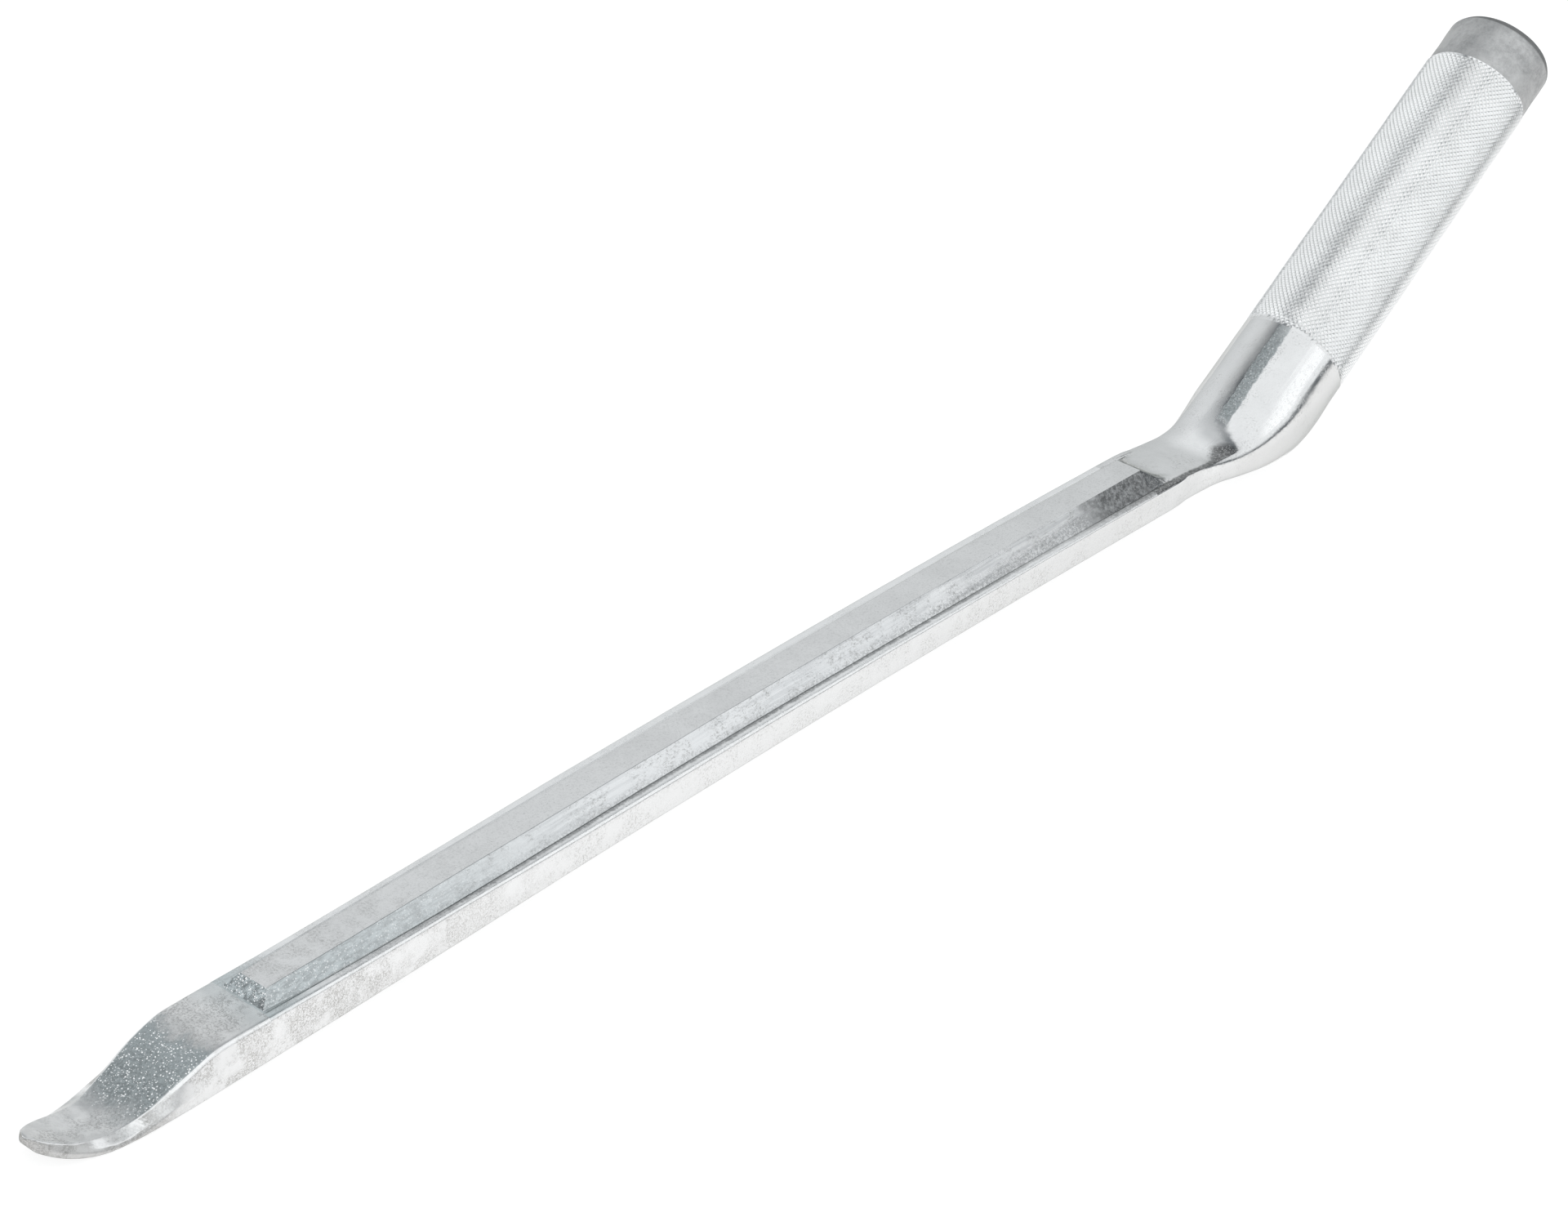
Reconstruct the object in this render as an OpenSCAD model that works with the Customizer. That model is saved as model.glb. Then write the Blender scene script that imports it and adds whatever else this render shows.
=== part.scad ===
// Bent tyre lever: a one-piece forging with a spoon tip, a ribbed shank, a bent neck and a
// round knurled handle. Every node is one zone of that single forging, cut at a visible line.
// Millimetres, +Z up, tip towards -X, handle towards +X. The lever stands on spoon and heel.

/* [Handle] */
// Diameter of the round knurled grip
grip_d = 23; // [20:0.5:28]
// Length of the knurled stretch
grip_len = 73.6; // [50:0.2:100]
// Diameter of the plain collar at the free end
collar_d = 22.6; // [19:0.2:27.6]
// Length of the plain collar, chamfer included
collar_len = 12.4; // [6:0.2:25]
// Chamfer at the free end
collar_chamfer = 0.9; // [0.2:0.1:3]
// Angle the handle is bent up from the shank
bend_deg = 33.8; // [20:0.2:45]

/* [Shank] */
// Length of the ribbed shank, rib foot to neck
shank_len = 228.6; // [150:0.2:320]
// Shank width at the tip end
width_tip = 14; // [10:0.2:24]
// Shank width at the neck
width_neck = 14.8; // [10:0.2:24]
// Thickness of the flat bar under the rib
bar_h = 6; // [4:0.1:10]
// Rounding of the long edges
edge_r = 0.8; // [0.2:0.1:2]

/* [Rib] */
// Rib height above the bar at the tip end
rib_h_tip = 2.4; // [1:0.1:5]
// Rib height above the bar at the neck
rib_h_neck = 3; // [1:0.1:5]
// Width of the flat rib top
rib_top_w = 5.5; // [3:0.1:9]
// Width of the narrow ledge beside the rib foot
ledge_w = 0.5; // [0.2:0.1:2]

/* [Spoon] */
// Length of the flat land between rib foot and ramp
land_len = 11.4; // [4:0.2:20]
// Length of the ramp that thins the spoon
ramp_len = 16.6; // [8:0.2:30]
// Length of the curled lip beyond the ramp
lip_len = 9.4; // [4:0.2:20]
// Thickness height of the spoon top at its lowest place
valley_z = 1.9; // [1.2:0.1:4]
// Height of the lip's top edge
lip_top_z = 3.5; // [2:0.1:8]
// Height of the lip's under edge
lip_bottom_z = 1.5; // [0:0.1:4]

/* [Neck] */
// Distance along the handle axis from its datum to the knurl
neck_run = 52.4; // [40:0.2:70]
// Where the handle axis passes below the neck, along X
axis_x = 15.06; // [0:0.01:40]
// Where the handle axis passes below the neck, along Z
axis_z = -18.9; // [-40:0.01:0]

/* [Hidden] */
grip_r = grip_d / 2;
collar_r = collar_d / 2;
half_tip = width_tip / 2;
half_neck = width_neck / 2;
spoon_len = land_len + ramp_len + lip_len;
x_foot = -shank_len;
x_ramp = x_foot - land_len;
x_valley = x_ramp - ramp_len;
x_end = x_valley - lip_len;
outline_len = 16.2;
outline_n = 2.3;
mid_z = bar_h / 2;
cb = cos(bend_deg);
sb = sin(bend_deg);
heel_z = -7.3411;
heel_x = 41.2;
rest_x = x_end + 13.7;
rest_tilt = atan(-heel_z / (heel_x - rest_x));
shift_x = 65.6946;
shift_z = 6.2842;

// stand the lever on its spoon and heel, over the origin
module stand()
  translate([shift_x, 0, shift_z])
    rotate([0, -rest_tilt, 0])
      children();

// put a shape drawn along +Z on the handle axis, starting s along it
module on_handle(s)
  translate([axis_x + s * cb, 0, axis_z + s * sb])
    rotate([0, 90 - bend_deg, 0])
      children();

function clamp01(t) = min(1, max(0, t));
function ease(a, b, t) = let (k = clamp01((t - a) / (b - a))) k * k * (3 - 2 * k);
function mix(a, b, k) = a + (b - a) * k;

// mirror a half section, bottom centre first and top centre last, into a closed ring
function ring(half) = concat(
  [for (p = half) p],
  [for (i = [len(half) - 2:-1:1]) [-half[i][0], half[i][1]]]
);

// a closed skin over rings of equal length, each end closed by a fan about its middle
function middle(r) = [for (k = [0:2]) [for (p = r) p[k]] * [for (p = r) 1 / len(r)]];
module loft(rings) {
  n = len(rings[0]);
  m = len(rings);
  sides = [for (j = [0:m - 2]) for (i = [0:n - 1])
    let (a = j * n + i, b = j * n + (i + 1) % n)
      each [[a, b + n, b], [a, a + n, b + n]]];
  caps = [for (i = [0:n - 1])
    each [
      [m * n, i, (i + 1) % n],
      [m * n + 1, (m - 1) * n + (i + 1) % n, (m - 1) * n + i]
    ]];
  skin = concat([for (r = rings) each r], [middle(rings[0]), middle(rings[m - 1])]);
  polyhedron(points = skin, faces = concat(sides, caps), convexity = 6);
}

// spoon: outline half-width, underside, top side and inset of the top edge at x
function outline(x) = let (t = clamp01((x_end + outline_len - x) / outline_len))
  half_tip * pow(max(0, 1 - pow(t, outline_n)), 1 / outline_n);
function under(x) = let (t = clamp01((x_end + outline_len - x) / outline_len))
  lip_bottom_z * pow(t, 2.2);
function over(x) = x >= x_ramp ? bar_h
  : x >= x_valley ? let (t = (x_ramp - x) / ramp_len)
      mix(bar_h, valley_z, 1.5 * t - 0.5 * pow(t, 3))
  : let (t = (x_valley - x) / lip_len) mix(valley_z, lip_top_z, t * t);
function inset(x) = mix(edge_r, 1.9, ease(x_ramp + 3, x_valley + 6, x_ramp + x_valley - x + 3))
  * clamp01(outline(x) / 5);

function spoon_half(x) = let (
    w = max(0.6, outline(x)),
    lo = under(x),
    hi = over(x),
    h = hi - lo,
    e = min(edge_r, 0.3 * h),
    c = inset(x)
  ) [
    [0, lo],
    [w - 1.6 * e, lo],
    [w - 0.3 * e, lo + 0.4 * e],
    [w, lo + 1.2 * e],
    [w - 0.12 * c, lo + 0.6 * h],
    [w - 0.45 * c, hi - 0.7 * e],
    [w - c - 0.2 * e, hi],
    [0, hi]
  ];

module spoon_tip() color([0.72, 0.75, 0.78]) stand() {
  xs = concat(
    [for (k = [0:10]) x_end + 0.04 + outline_len * (1 - cos(k * 9))],
    [for (k = [1:8]) mix(x_end + outline_len, x_ramp, k / 8)],
    [x_ramp + 4, x_foot]
  );
  loft([for (x = xs) [for (p = ring(spoon_half(x))) [x, p[0], p[1]]]]);
}

// flat bar of the shank, half width w
function bar_half(w) = [
  [0, 0],
  [w - 1.6 * edge_r, 0],
  [w - 0.3 * edge_r, 0.4 * edge_r],
  [w, 1.2 * edge_r],
  [w, bar_h - 1.2 * edge_r],
  [w - 0.3 * edge_r, bar_h - 0.4 * edge_r],
  [w - 1.2 * edge_r, bar_h],
  [0, bar_h]
];

module shank_bar() color([0.83, 0.84, 0.85]) stand()
  loft([
    for (p = [[x_foot, half_tip], [0, half_neck]])
      [for (q = ring(bar_half(p[1]))) [p[0], q[0], q[1]]]
  ]);

// rib on the bar: sloping end at the tip, bevelled sides
function rib_ring(xb, xt, w, h) = let (b = w - 1.2 * edge_r - ledge_w, t = rib_top_w / 2) [
  [xb, -b, bar_h],
  [xb, b, bar_h],
  [xt, t, bar_h + h],
  [xt, -t, bar_h + h]
];

module top_rib() color([0.78, 0.79, 0.81]) stand()
  loft([
    rib_ring(x_foot, x_foot + rib_h_tip, half_tip, rib_h_tip),
    rib_ring(0, 0, half_neck, rib_h_neck)
  ]);

// neck: the shank section turning into the full round of the handle
neck_from = [
  [0, -3], [2.2, -3], [4.4, -3], [6.12, -3], [7.16, -2.68], [7.4, -2.04], [7.4, 0],
  [7.4, 2.04], [7.16, 2.68], [6.44, 3], [5.94, 3], [4.85, 4.05], [3.8, 5.05], [2.75, 6],
  [1.4, 6], [0, 6]
];
neck_deg = [-90, -76, -62, -51, -41, -31, -10, 14, 26, 33, 39, 49, 59, 69, 80, 90];
curve_x = [0, 24, 41, axis_x + neck_run * cb];
curve_z = [mid_z, mid_z, -1.55, axis_z + neck_run * sb];
function bez(p, t) = p[0] * pow(1 - t, 3) + 3 * p[1] * t * pow(1 - t, 2)
  + 3 * p[2] * t * t * (1 - t) + p[3] * pow(t, 3);
function bez_d(p, t) = 3 * ((p[1] - p[0]) * pow(1 - t, 2)
  + 2 * (p[2] - p[1]) * t * (1 - t) + (p[3] - p[2]) * t * t);

function neck_ring(t) = let (
    cx = bez(curve_x, t),
    cz = bez(curve_z, t),
    tx = bez_d(curve_x, t),
    tz = bez_d(curve_z, t),
    tl = norm([tx, tz]),
    low = ease(0.12, 0.8, t),
    top = ease(0.3, 0.95, t),
    half = [for (i = [0:15])
      let (
        a = neck_deg[i],
        k = mix(low, top, clamp01((a + 10) / 60)),
        v = mix(neck_from[i][0], grip_r * cos(a), k),
        u = mix(neck_from[i][1], grip_r * sin(a), k)
      ) [v, u]]
  ) [for (p = ring(half)) [cx - tz / tl * p[1], p[0], cz + tx / tl * p[1]]];

module bend_neck() color([0.8, 0.81, 0.83]) stand()
  loft([for (k = [0:14]) neck_ring(k / 14)]);

module knurled_grip() color([0.86, 0.87, 0.88]) stand()
  on_handle(neck_run)
    cylinder(r = grip_r, h = grip_len, $fn = 96);

module end_collar() color([0.66, 0.67, 0.68]) stand()
  on_handle(neck_run + grip_len)
    union() {
      cylinder(r = collar_r, h = collar_len - collar_chamfer, $fn = 96);
      translate([0, 0, collar_len - collar_chamfer])
        cylinder(r1 = collar_r, r2 = collar_r - collar_chamfer, h = collar_chamfer, $fn = 96);
    }

spoon_tip();
shank_bar();
top_rib();
bend_neck();
knurled_grip();
end_collar();
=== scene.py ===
"""Bent tyre lever: visible pieces, zinc-plated steel materials, pale studio, camera."""

import math
import random

import bpy
import numpy as np
from mathutils import Matrix, Vector, noise


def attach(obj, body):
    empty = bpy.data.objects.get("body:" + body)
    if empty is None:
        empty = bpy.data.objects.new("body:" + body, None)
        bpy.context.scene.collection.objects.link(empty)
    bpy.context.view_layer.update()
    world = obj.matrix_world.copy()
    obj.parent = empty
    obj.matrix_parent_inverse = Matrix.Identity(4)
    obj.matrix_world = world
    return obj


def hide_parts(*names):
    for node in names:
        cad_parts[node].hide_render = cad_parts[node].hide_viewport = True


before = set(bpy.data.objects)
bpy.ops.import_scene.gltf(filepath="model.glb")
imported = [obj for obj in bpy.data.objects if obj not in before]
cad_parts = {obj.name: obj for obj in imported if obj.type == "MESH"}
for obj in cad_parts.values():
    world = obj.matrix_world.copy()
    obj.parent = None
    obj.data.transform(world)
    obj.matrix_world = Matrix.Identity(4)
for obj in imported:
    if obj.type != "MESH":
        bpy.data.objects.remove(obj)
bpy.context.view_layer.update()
random.seed(7)

# The lever's own coordinates: millimetres, X along the shank with 0 at the neck crease, Z up
# from the flat underside. The main sizes are the CAD model's; the lip runs 2.2 mm further.
BEND = math.radians(33.8)
CB, SB = math.cos(BEND), math.sin(BEND)
AXIS = (15.06, -18.9)
NECK_RUN, GRIP_LEN, COLLAR_LEN = 52.4, 73.6, 12.4
GRIP_R, COLLAR_R = 11.5, 11.3
X_FOOT, X_RAMP, X_VALLEY, X_END = -228.6, -240.0, -256.6, -268.2
W_TIP, W_NECK = 7.0, 7.4
BAR_H = 6.0
RIB_TOP = 2.62
TILT = math.atan(7.3411 / 293.5)
SHIFT = (65.6946, 6.2842)


def place(points):
    """Lever millimetres to the frame's metres: stood on spoon and heel, over the origin."""
    p = np.asarray(points, float)
    c, s = math.cos(TILT), math.sin(TILT)
    out = np.empty_like(p)
    out[:, 0] = p[:, 0] * c - p[:, 2] * s + SHIFT[0]
    out[:, 1] = p[:, 1]
    out[:, 2] = p[:, 0] * s + p[:, 2] * c + SHIFT[1]
    return out / 1000.0


def on_axis(s, v, u):
    """A point s along the handle axis, v across it and u above it."""
    return (AXIS[0] + s * CB - u * SB, v, AXIS[1] + s * SB + u * CB)


def ease(a, b, t):
    k = min(1.0, max(0.0, (t - a) / (b - a)))
    return k * k * (3 - 2 * k)


def mix(a, b, k):
    return a + (b - a) * k


def wobble(p, size):
    """A few hundredths of a millimetre of forging unevenness, the same for every piece."""
    out = np.array(p, float)
    for i, (x, y, z) in enumerate(p):
        for axis in range(3):
            far = 31.7 * axis
            broad = noise.noise(Vector((x * 0.045 + far, y * 0.09 + 5, z * 0.09)))
            fine = noise.noise(Vector((x * 0.21 + far, y * 0.3 + 9, z * 0.3)))
            out[i, axis] += size * (broad + 0.4 * fine)
    return out


# ---------------------------------------------------------------- sections
def fillet(path, steps):
    """Round each inner corner of an open path: items are (v, u, radius)."""
    out = [path[0][:2]]
    for i in range(1, len(path) - 1):
        p, q, r = (np.array(path[k][:2], float) for k in (i - 1, i, i + 1))
        a, b = p - q, r - q
        la, lb = np.linalg.norm(a), np.linalg.norm(b)
        if la < 1e-6 or lb < 1e-6 or path[i][2] <= 0:
            out += [tuple(q)] * (steps + 1)
            continue
        a, b = a / la, b / lb
        half = math.acos(max(-1.0, min(1.0, float(a @ b)))) / 2
        if half > math.pi / 2 - 1e-3:
            span = min(path[i][2], 0.48 * la, 0.48 * lb)
            for k in range(steps + 1):
                t = 2 * k / steps - 1
                out.append(tuple(q + (a * -t if t < 0 else b * t) * span))
            continue
        cut = min(path[i][2] / math.tan(half), 0.499 * la if i > 1 else 0.999 * la,
                  0.499 * lb if i < len(path) - 2 else 0.999 * lb)
        rad = cut * math.tan(half)
        mid = q + (a + b) / np.linalg.norm(a + b) * rad / math.sin(half)
        s, e = q + a * cut - mid, q + b * cut - mid
        turn = math.atan2(s[0] * e[1] - s[1] * e[0], float(s @ e))
        for k in range(steps + 1):
            g = turn * k / steps
            out.append((mid[0] + s[0] * math.cos(g) - s[1] * math.sin(g),
                        mid[1] + s[0] * math.sin(g) + s[1] * math.cos(g)))
    out.append(path[-1][:2])
    return out


def ring(half):
    """Mirror a half section, bottom centre to top centre, into a closed ring."""
    return list(half) + [(-v, u) for v, u in half[-2:0:-1]]


def densify(half, most):
    """Split stretches of a half section into a fixed number of parts each."""
    out = []
    for (p, q), n in zip(zip(half[:-1], half[1:]), most):
        out += [(mix(p[0], q[0], k / n), mix(p[1], q[1], k / n)) for k in range(n)]
    return out + [half[-1]]


# ---------------------------------------------------------------- meshes
def new_object(name, verts, faces, nodes, angle=30):
    mesh = bpy.data.meshes.new(name)
    mesh.from_pydata([tuple(v) for v in verts], [], faces)
    mesh.validate()
    mesh.update()
    if angle:
        mesh.shade_smooth()
        mesh.set_sharp_from_angle(angle=math.radians(angle))
    else:
        mesh.shade_flat()
    ob = bpy.data.objects.new(name, mesh)
    bpy.context.scene.collection.objects.link(ob)
    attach(ob, "root")
    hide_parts(*nodes)
    return ob


def loft(rings):
    """Vertices and faces of a closed skin over equal rings, ends closed by fans."""
    n, m = len(rings[0]), len(rings)
    verts = [p for r in rings for p in r]
    faces = []
    for j in range(m - 1):
        for i in range(n):
            a, b = j * n + i, j * n + (i + 1) % n
            faces.append((a, b, b + n, a + n))
    verts.append(tuple(np.mean(np.array(rings[0]), axis=0)))
    verts.append(tuple(np.mean(np.array(rings[-1]), axis=0)))
    for i in range(n):
        faces.append((m * n, (i + 1) % n, i))
        faces.append((m * n + 1, (m - 1) * n + i, (m - 1) * n + (i + 1) % n))
    return verts, faces


def shank_w(x):
    return mix(W_TIP, W_NECK, (x - X_FOOT) / -X_FOOT)


def rib_h(x):
    return mix(2.4, 3.0, (x - X_FOOT) / -X_FOOT)


def rib_foot(x):
    """Half width of the rib where it stands on the bar."""
    return mix(mix(4.65, 5.15, ease(X_FOOT, -185.0, x)), 5.85, ease(-150.0, 0.0, x))


def bow(x):
    """The forging isn't dead straight: it sags a little towards the neck."""
    if x > -130:
        return 0.08 - 1.85 * ((x + 130) / 130) ** 2
    return 0.08 - 0.25 * (1 - ease(-225.0, -140.0, x))


def bent(points):
    out = np.array(points, float)
    out[:, 2] += [bow(x) for x in out[:, 0]]
    return out


GROOVE = 0.08


# ---- spoon tip: land, blasted ramp, valley and curled lip, rounded outline
def catmull(keys, t):
    """Smooth values at t through rows (t, a, b, ...)."""
    t = min(keys[-1][0], max(keys[0][0], t))
    i = max(0, min(len(keys) - 2, sum(1 for q in keys if q[0] <= t) - 1))
    p0, p1, p2, p3 = (keys[max(0, i - 1)], keys[i], keys[i + 1],
                      keys[min(len(keys) - 1, i + 2)])
    h = p2[0] - p1[0]
    k = (t - p1[0]) / h
    out = []
    for c in range(1, len(p1)):
        m1 = (p2[c] - p0[c]) / (p2[0] - p0[0]) * h
        m2 = (p3[c] - p1[c]) / (p3[0] - p1[0]) * h
        out.append((2 * k**3 - 3 * k**2 + 1) * p1[c] + (k**3 - 2 * k**2 + k) * m1
                   + (3 * k**2 - 2 * k**3) * p2[c] + (k**3 - k**2) * m2)
    return out


def outline(x):
    t = min(1.0, max(0.0, (X_END + 25.0 - x) / 25.0))
    return (W_TIP + 0.08) * max(0.0, 1 - t ** 2.1) ** (1 / 2.1)


# distance from the tip: height of the top edge, how far that edge stands in from the outline
SPOON = [(0, 5.4, 0.3), (5, 3.0, 0.9), (9, 1.7, 1.7), (13, 1.2, 2.1), (18, 2.4, 1.7),
         (24, 4.8, 1.1), (29, 6.3, 0.9), (33, 6.5, 0.9), (50, 6.2, 0.8), (80, 6.0, 0.5),
         (120, 6.0, 0.1), (270, 6.0, 0.0)]


def top_edge(x):
    return catmull(SPOON, x - X_END)


def under(x):
    """Underside: the lip curls up, and the tip end is a little deeper than the shank."""
    t = min(1.0, max(0.0, (X_END + 11.2 - x) / 11.2))
    return 3.75 * t ** 2 - 0.5 * (1 - ease(X_FOOT, -150.0, x))


def side_path(x):
    """Bottom centre, bottom corner, waist and top corner of the shank and spoon."""
    w, lo = max(0.25, outline(x) if x < X_FOOT else shank_w(x) + 0.08), under(x)
    hi, c = top_edge(x)
    c = min(c, 0.5 * w)
    close = max(0.0, (X_END + 1.0 - x) / 1.0)
    mid, h = (lo + hi) / 2, (hi - lo) / 2 * math.sqrt(max(0.02, 1 - close ** 2))
    lo, hi = mid - h, mid + h
    return w, c, lo, hi, h, [(0, lo, 0), (w, lo, min(0.65, 0.6 * h)),
                             (w - 0.1 * c, lo + 0.42 * (hi - lo), 1.2),
                             (w - c, hi, min(0.9, 0.6 * h))]


def spoon_half(x):
    w, c, lo, hi, h, path = side_path(x)
    dish = 0.25 * (1 - ease(X_VALLEY, X_VALLEY + 9, x)) * min(1.0, w / 5)
    half = fillet(path + [((w - c) * 0.5, hi - dish * 0.7, 1.5), (0, hi - dish, 0)], 6)
    return densify(half, [4] + [1] * 6 + [1] + [1] * 6 + [2] + [1] * 6 + [2] + [1] * 6 + [3])


xs = [X_END + 0.02 + 18.0 * (1 - math.cos(math.radians(k * 1.8))) for k in range(0, 51)]
xs += [mix(X_END + 18.02, X_RAMP + 2.4, k / 34) for k in range(1, 35)]
xs += [mix(X_RAMP + 2.4, X_FOOT, k / 10) for k in range(1, 11)]
rings = [[(x, v, u) for v, u in ring(spoon_half(x))] for x in xs]
verts, faces = loft(rings)
spoon = new_object("spoon_tip_forging", place(wobble(bent(verts), 0.05)), faces,
                   ["spoon_tip"], 50)


# ---- shank bar: flat bar with rounded long edges, a ledge and a fine groove beside the rib
def bar_half(x):
    """Bottom centre to the groove: flat, corner, side, waist, side, corner, then the ledge."""
    w, c, lo, hi, h, path = side_path(x)
    b, g = rib_foot(x), GROOVE * ease(X_FOOT - 2, X_FOOT + 8, x)
    half = fillet(path + [(b + 0.3, hi, 0.1), (b + 0.02, hi - g, 0.15), (0, hi - g, 0)], 6)
    return densify(half, [4] + [1] * 6 + [1] + [1] * 6 + [2] + [1] * 6 + [2] + [1] * 6 + [1]
                   + [1] * 6 + [2])


xs = [mix(X_FOOT, 0.0, k / 150) for k in range(151)]
rings = [[(x, v, u) for v, u in ring(bar_half(x))] for x in xs]
verts, faces = loft(rings)
bar = new_object("shank_bar_forging", place(wobble(bent(verts), 0.05)), faces,
                 ["shank_bar"], 50)


# ---- rib: bevelled sides, flat top, sloping end over the land
def rib_half(x, drop=0.0):
    h = rib_h(x)
    b, low = rib_foot(x), BAR_H - GROOVE - 0.02
    top = BAR_H + h - drop
    t = mix(b, RIB_TOP, (top - low) / (BAR_H + h - low))
    half = [(0, low)] + fillet([(b, low, 0), (t, top, 0.28), (0, top, 0)], 5)
    return densify(half, [2, 6] + [1] * 5 + [4])


xs = [X_FOOT + 0.02 + 2.5 * k / 12 for k in range(13)] + [
    mix(X_FOOT + 2.52, 0.0, k / 150) for k in range(1, 151)]
rings = []
for x in xs:
    k = min(1.0, (x - X_FOOT) / 2.5)
    drop = (1 - k) * (rib_h(x) + GROOVE - 0.06)
    rings.append([(x, v, u) for v, u in ring(rib_half(x, drop))])
verts, faces = loft(rings)
rib = new_object("top_rib_forging", place(wobble(bent(verts), 0.05)), faces,
                 ["top_rib"], 32)


# ---- neck: the rib runs out in a trough, and the bar swells and turns up into the round
# station; middle of the section x, z; lean; height above, below; half width; edge half width,
# height of the edge above the middle; sharpness of the bottom corner
NECK = [
    (0.0, 0.0, 1.23, 0.0, 6.0, 3.0, 7.4, 7.0, 3.0, 9.0),
    (3.0, 3.0, 1.18, 0.6, 4.35, 3.0, 7.4, 7.0, 3.0, 9.0),
    (6.0, 6.0, 1.13, 1.2, 3.25, 3.05, 7.4, 7.0, 2.85, 8.5),
    (12.0, 12.0, 0.95, 2.5, 2.8, 3.15, 7.4, 6.95, 2.55, 7.5),
    (18.0, 18.0, 0.6, 5.5, 2.6, 3.25, 7.4, 6.9, 2.3, 6.2),
    (24.0, 24.0, 0.3, 10.0, 2.7, 3.7, 7.65, 7.0, 2.15, 5.0),
    (30.0, 30.1, 0.4, 16.5, 3.75, 5.2, 8.5, 7.5, 2.4, 4.2),
    (36.0, 36.1, 1.3, 23.0, 5.8, 7.6, 9.75, 8.25, 3.15, 3.7),
    (42.0, 41.9, 2.9, 28.5, 7.85, 10.2, 10.8, 8.85, 4.3, 3.2),
    (47.0, 46.6, 4.4, 31.5, 9.5, 11.9, 11.2, 9.15, 5.25, 2.8),
    (52.0, 51.2, 6.3, 33.3, 10.6, 12.1, 11.35, 9.35, 6.0, 2.4),
    (57.0, 55.6, 8.5, 33.8, 11.2, 11.6, 11.42, 9.42, 6.5, 2.1),
    (60.6, AXIS[0] + NECK_RUN * CB, AXIS[1] + NECK_RUN * SB, 33.8, 11.5, 11.5, 11.5, 9.42,
     6.6, 2.0),
]


def along(curve, fractions):
    """Points at given fractions of a curve's length."""
    c = np.array(curve, float)
    d = np.concatenate([[0], np.cumsum(np.hypot(*np.diff(c, axis=0).T))])
    f = np.array(fractions) * d[-1]
    return list(zip(np.interp(f, d, c[:, 0]), np.interp(f, d, c[:, 1])))


def fractions(curve):
    c = np.array(curve, float)
    d = np.concatenate([[0], np.cumsum(np.hypot(*np.diff(c, axis=0).T))])
    return d / d[-1]


# the shank's section at the neck, split at the middle of its side and at its top corner
half = bar_half(0.0)
START = half[:28] + [(rib_foot(0.0) + 0.3, BAR_H + 0.05),
                     (rib_foot(0.0) + 0.12, BAR_H - 0.4 * GROOVE)] + rib_half(0.0)[2:]
START = [(v, u - 3.0) for v, u in START]
SIDE_AT, EDGE_AT = 15, 23
LOWER, SIDE, TOP = START[:SIDE_AT + 1], START[SIDE_AT:EDGE_AT + 1], START[EDGE_AT:]


def neck_section(t):
    ox, oz, lean, up, down, w, we, ue, sharp = catmull(NECK, t)
    q, c = 0.574, 0.819
    lower = [(w * math.cos(g) ** (2 / sharp), -down * math.sin(g) ** (2 / sharp))
             for g in [math.radians(90 - 90 * k / 60) for k in range(61)]]
    side = [(w - (w - we) * (1 - math.sqrt(1 - (q * k / 20) ** 2)) / (1 - math.sqrt(1 - q * q)),
             ue * k / 20) for k in range(21)]
    pts = along(lower, fractions(LOWER)) + along(side, fractions(SIDE))[1:]
    for v, u in TOP[1:]:
        f = max(0.0, v / TOP[0][0])
        g = (math.sqrt(1 - (f * c) ** 2) - math.sqrt(1 - c * c)) / (1 - math.sqrt(1 - c * c))
        pts.append((f * we, ue + (up - ue) * g))
    return (ox, oz, math.radians(lean)), pts


def neck_ring(t):
    out = []
    fade = 1 - ease(2.0, 16.0, t)
    for i, (v0, u0) in enumerate(START):
        # the trough starts across the rib's top and slants back down its bevels
        late = 0.25 + 5.2 * min(1.0, max(0.0, (6.0 - u0) / 3.0))
        if i <= EDGE_AT:
            late = 5.45
        if t <= 0:
            x = late * (1 + t)
            out.append((x, v0, u0 + 3.0 + bow(x)))
            continue
        at = t + late * fade
        (ox, oz, lean), pts = neck_section(at)
        v, u = pts[i]
        new = (ox - math.sin(lean) * u, v, oz + math.cos(lean) * u)
        old = (at, v0, u0 + 3.0 + bow(at))
        if i <= EDGE_AT + 4:
            k = ease(0.0, 10.0, t)
        else:
            # join the trough to the rib's own surface at the crease
            k = 1.0
            gap = ue_gap(i, late)
            new = (new[0], new[1], new[2] + gap * (1 - ease(0.0, 7.0, t)))
            new = (new[0], mix(v0, new[1], ease(0.0, 12.0, t)), new[2])
        out.append(tuple(mix(p, q, k) for p, q in zip(old, new)))
    return out + [(x, -v, z) for x, v, z in out[-2:0:-1]]


def ue_gap(i, late):
    """How far the rib's surface stands above the trough where the two meet."""
    (ox, oz, lean), pts = neck_section(late)
    v, u = pts[i]
    return START[i][1] + 3.0 + bow(late) - (oz + math.cos(lean) * u)


steps = [-1 + k / 5 for k in range(6)] + [0.12, 0.45, 0.95] + [1.5 + 0.6 * k for k in range(99)]
rings = [neck_ring(t) for t in steps if t < 60.3] + [neck_ring(60.6)]
verts, faces = loft(rings)
neck = new_object("bend_neck_forging", place(wobble(verts, 0.05)), faces,
                  ["bend_neck"], 28)


# ---- knurled grip: two crossing sets of helical grooves leave blunt pyramids
STARTS = 64
COLS = 2 * STARTS
ROWS = 120
HALF_ROW = GRIP_LEN / ROWS
CREST, VALLEY = 11.57, 11.2


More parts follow.
